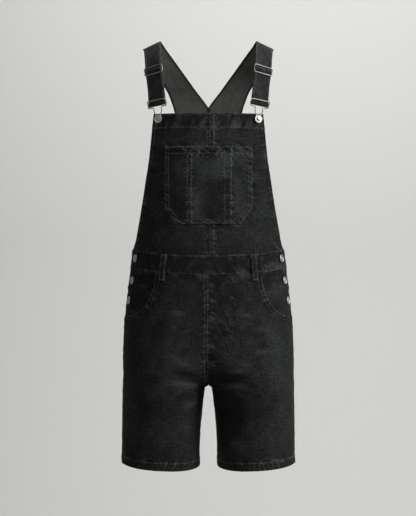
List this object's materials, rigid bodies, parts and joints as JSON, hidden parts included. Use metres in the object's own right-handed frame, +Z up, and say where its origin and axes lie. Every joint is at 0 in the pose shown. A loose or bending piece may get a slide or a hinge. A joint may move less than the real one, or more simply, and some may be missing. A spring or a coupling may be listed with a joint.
{
  "type": "short dungarees",
  "caption": "Hollow short dungarees in washed black denim: bib with patch pocket, buckled shoulder straps, waistband, scooped hip pockets, side buttons and wide open legs.",
  "frame": {"origin": "midway between the two straps, at the height where they lie on the wearer's shoulders", "axes": "+Z up the wearer's body, -Y the way the bib faces, +X to the wearer's left"},
  "size_m": [0.381, 0.2712, 0.9328],
  "materials": {
    "denim": "washed black twill, matt",
    "nickel": "nickel plated, satin"
  },
  "bodies": {
    "root": {"bib_left": "denim", "bib_right": "denim", "bib_pocket": "denim", "front_waistband": "denim", "back_waistband": "denim", "back_bib": "denim", "front_leg_left": "denim", "front_leg_right": "denim", "back_leg_left": "denim", "back_leg_right": "denim", "pocket_facing_left": "denim", "pocket_facing_right": "denim", "button_stand_left": "denim", "button_stand_right": "denim", "belt_loop_front_left": "denim", "belt_loop_front_right": "denim", "belt_loop_back": "denim", "strap_left": "denim", "strap_right": "denim", "bib_button_left": "nickel", "bib_button_right": "nickel", "side_button_left_1": "nickel", "side_button_left_2": "nickel", "side_button_left_3": "nickel", "side_button_right_1": "nickel", "side_button_right_2": "nickel", "side_button_right_3": "nickel", "strap_hook_left": "nickel", "strap_hook_right": "nickel", "strap_slider_left": "nickel", "strap_slider_right": "nickel"}
  },
  "joints": []
}
